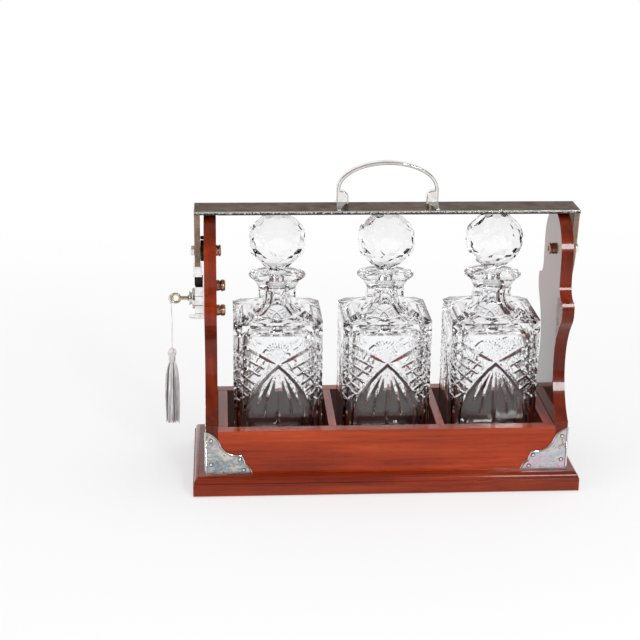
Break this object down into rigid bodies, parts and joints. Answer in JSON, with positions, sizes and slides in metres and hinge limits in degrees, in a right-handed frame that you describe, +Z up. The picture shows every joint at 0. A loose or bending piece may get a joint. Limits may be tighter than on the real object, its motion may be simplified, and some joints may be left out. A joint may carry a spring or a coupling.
{
  "type": "antique tantalus",
  "caption": "Wooden decanter stand whose plated locking bar with a carrying handle swings back on side arms to free the square cut-glass decanters.",
  "frame": {"origin": "centre of the underside, where the stand rests", "axes": "+X to the right seen from the front, +Y to the back, +Z up"},
  "size_m": [0.4142, 0.146, 0.3227],
  "materials": {
    "mahogany": "French-polished mahogany",
    "silver_plate": "worn silver plate",
    "brass": "satin",
    "copper_brass": "lacquered",
    "dark_steel": "blackened",
    "baize": "baize",
    "silver_thread": "wound thread",
    "cut_glass": "cut and polished"
  },
  "bodies": {
    "stand": {"baize_underside": "baize", "plinth": "mahogany", "plinth_screws": "dark_steel", "front_rail": "mahogany", "back_rail": "mahogany", "left_end_board": "mahogany", "right_end_board": "mahogany", "left_divider": "mahogany", "right_divider": "mahogany", "left_end_panel": "mahogany", "right_end_panel": "mahogany", "lock_backplate": "silver_plate", "lock_case": "silver_plate", "bolt_guide": "dark_steel", "lock_foot_plate": "silver_plate", "lock_studs": "brass", "lock_nuts": "copper_brass", "front_left_mount": "silver_plate", "front_left_pins": "silver_plate", "front_right_mount": "silver_plate", "front_right_pins": "silver_plate", "back_left_mount": "silver_plate", "back_left_pins": "silver_plate", "back_right_mount": "silver_plate", "back_right_pins": "silver_plate", "left_pivot_bolt": "silver_plate", "left_pivot_washer": "dark_steel", "left_pivot_nut": "copper_brass", "left_spacer_stud": "dark_steel", "right_pivot_bolt": "silver_plate", "right_pivot_washer": "dark_steel", "right_pivot_nut": "copper_brass", "right_spacer_stud": "dark_steel", "decanter_left": "cut_glass", "decanter_centre": "cut_glass", "decanter_right": "cut_glass"},
    "bar": {"locking_bar": "silver_plate", "bar_lining": "baize", "left_arm": "silver_plate", "right_arm": "silver_plate", "striker": "silver_plate", "arm_rivets": "silver_plate", "carrying_handle": "silver_plate", "handle_screws": "dark_steel"},
    "lock_plug": {"lock_plug": "silver_plate"},
    "lock_bolt": {"lock_bolt": "dark_steel"},
    "key": {"key": "brass"},
    "cord_loop": {"tassel_loop": "silver_thread"},
    "tassel": {"tassel_cord": "silver_thread", "tassel_head": "silver_thread", "tassel_skirt": "silver_thread"},
    "stopper_left": {"stopper_left": "cut_glass"},
    "stopper_centre": {"stopper_centre": "cut_glass"},
    "stopper_right": {"stopper_right": "cut_glass"}
  },
  "joints": [
    {"name": "bar_swing", "type": "hinge", "parent": "stand", "child": "bar", "pos_m": [0, 0, 0.23301], "axis": [-1, 0, 0], "range_deg": [0, 94]},
    {"name": "key_turn", "type": "hinge", "parent": "stand", "child": "lock_plug", "pos_m": [0, 0, 0.18401], "axis": [1, 0, 0], "range_deg": [0, 90]},
    {"name": "bolt_slide", "type": "slide", "parent": "stand", "child": "lock_bolt", "axis": [0, 0, 1], "range_m": [0, 0.00707]},
    {"name": "key_draw", "type": "slide", "parent": "lock_plug", "child": "key", "axis": [-1, 0, 0], "range_m": [0, 0.03]},
    {"name": "loop_turn", "type": "hinge", "parent": "key", "child": "cord_loop", "pos_m": [-0.21335, 0, 0.18401], "axis": [1, 0, 0], "range_deg": [-90, 0]},
    {"name": "tassel_swing", "type": "hinge", "parent": "cord_loop", "child": "tassel", "pos_m": [-0.21335, -0.00283, 0.18058], "axis": [0, 1, 0], "range_deg": [-8, 75]},
    {"name": "stopper_left_turn", "type": "hinge", "parent": "stand", "child": "stopper_left", "pos_m": [-0.108, 0, 0.2], "axis": [0, 0, 1], "continuous": true},
    {"name": "stopper_centre_turn", "type": "hinge", "parent": "stand", "child": "stopper_centre", "pos_m": [0, 0, 0.2], "axis": [0, 0, 1], "continuous": true},
    {"name": "stopper_right_turn", "type": "hinge", "parent": "stand", "child": "stopper_right", "pos_m": [0.108, 0, 0.2], "axis": [0, 0, 1], "continuous": true}
  ],
  "couplings": [
    {"joint": "key_turn", "follows": "bolt_slide", "rad_per_m": 222.14},
    {"joint": "loop_turn", "follows": "bolt_slide", "rad_per_m": -222.14}
  ]
}
